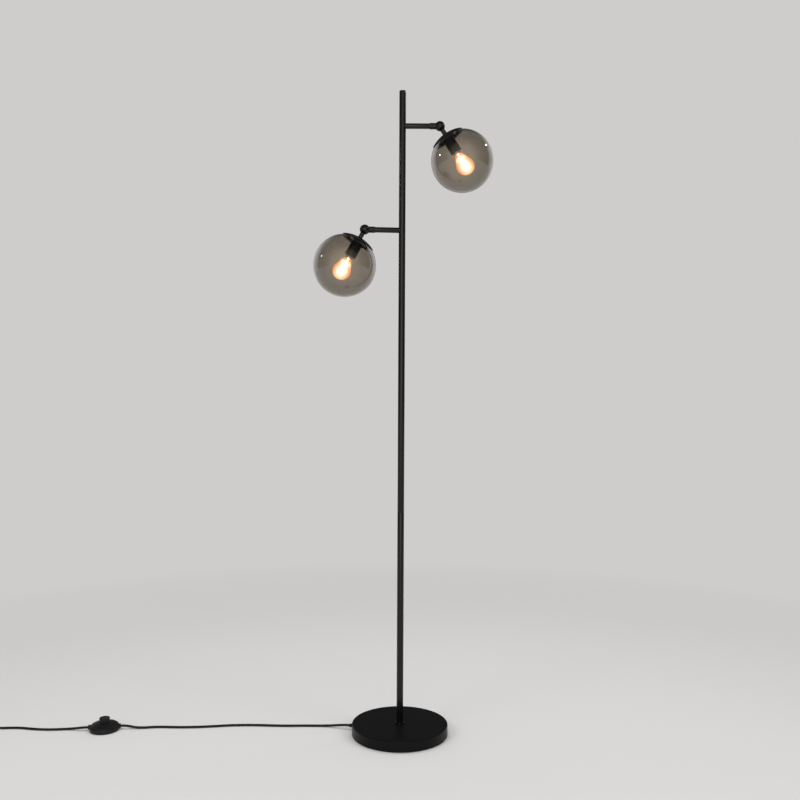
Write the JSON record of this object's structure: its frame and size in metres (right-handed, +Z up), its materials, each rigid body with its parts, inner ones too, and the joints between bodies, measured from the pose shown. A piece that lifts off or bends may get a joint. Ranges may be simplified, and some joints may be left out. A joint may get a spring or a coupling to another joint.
{
  "type": "floor lamp",
  "caption": "Black pole floor lamp on a round foot, with smoked glass globe shades on tilting knuckles, and a cord with a foot switch.",
  "frame": {"origin": "on the floor, under the middle of the pole", "axes": "+Z up along the pole, +X along the upper arm, -Y towards the side that the lamp is seen from"},
  "size_m": [1.3092, 0.248, 1.549],
  "materials": {
    "black_lacquer": "gloss black lacquer",
    "cast_weight": "bare casting",
    "zinc_steel": "zinc plated",
    "spring_steel": "bright spring steel",
    "foot_rubber": "matt",
    "black_rubber": "moulded flexible black plastic, satin",
    "cord_jacket": "black flexible plastic jacket, satin",
    "wire_jacket": "single insulated wires, satin",
    "natural_plastic": "natural",
    "black_plastic": "moulded black, satin",
    "brass_nickel": "nickel plated",
    "brass_bare": "bare",
    "smoked_glass": "clear smoked grey brown",
    "bulb_clear_glass": "clear, lit from inside",
    "filament_core": "phosphor coated strands on a glass stem"
  },
  "bodies": {
    "stand": {"base_cover": "black_lacquer", "base_weight": "cast_weight", "bottom_plate": "zinc_steel", "plate_screws": "zinc_steel", "base_pad": "foot_rubber", "base_nipple": "zinc_steel", "base_nut": "zinc_steel", "foot_collar": "black_lacquer", "cord_gland": "black_rubber", "terminal_block": "natural_plastic", "pole_lower": "black_lacquer", "pole_middle": "black_lacquer", "pole_upper": "black_lacquer", "section_nipples": "zinc_steel", "section_inserts": "zinc_steel", "pole_plug": "black_lacquer", "upper_arm": "black_lacquer", "lower_arm": "black_lacquer", "upper_arm_knuckle": "black_lacquer", "lower_arm_knuckle": "black_lacquer", "arm_grub_screws": "zinc_steel", "knuckle_screws": "black_lacquer", "friction_washers": "natural_plastic", "pole_wires": "wire_jacket", "base_cord": "cord_jacket", "switch_cord": "cord_jacket", "cord_coil": "cord_jacket", "switch_base": "black_plastic", "switch_cover": "black_plastic", "switch_block": "natural_plastic", "switch_screws": "zinc_steel", "button_spring": "spring_steel", "plug_body": "black_rubber", "plug_pins": "brass_nickel"},
    "foot_button": {"switch_button": "black_plastic"},
    "upper_head": {"upper_head_knuckle": "black_lacquer", "upper_head_nipple": "zinc_steel", "upper_cap": "black_lacquer", "upper_seal": "foot_rubber", "upper_spring_clip": "spring_steel", "upper_globe": "smoked_glass", "upper_lampholder": "black_plastic", "upper_contacts": "brass_bare", "upper_bulb_cap": "brass_nickel", "upper_bulb_glass": "bulb_clear_glass", "upper_filaments": "filament_core", "upper_head_wires": "wire_jacket"},
    "lower_head": {"lower_head_knuckle": "black_lacquer", "lower_head_nipple": "zinc_steel", "lower_cap": "black_lacquer", "lower_seal": "foot_rubber", "lower_spring_clip": "spring_steel", "lower_globe": "smoked_glass", "lower_lampholder": "black_plastic", "lower_contacts": "brass_bare", "lower_bulb_cap": "brass_nickel", "lower_bulb_glass": "bulb_clear_glass", "lower_filaments": "filament_core", "lower_head_wires": "wire_jacket"}
  },
  "joints": [
    {"name": "upper_tilt", "type": "hinge", "parent": "stand", "child": "upper_head", "pos_m": [0.09, 0, 1.4645], "axis": [0, -1, 0], "range_deg": [-33, 87]},
    {"name": "lower_tilt", "type": "hinge", "parent": "stand", "child": "lower_head", "pos_m": [-0.08959, -0.00863, 1.213], "axis": [-0.0958, 0.9954, 0], "range_deg": [-28.8, 91.2]},
    {"name": "button_press", "type": "slide", "parent": "stand", "child": "foot_button", "axis": [0, 0, -1], "range_m": [0, 0.0035], "stiffness_N_per_m": 900, "springref_m": -0.004, "deforming": ["button_spring"]}
  ]
}
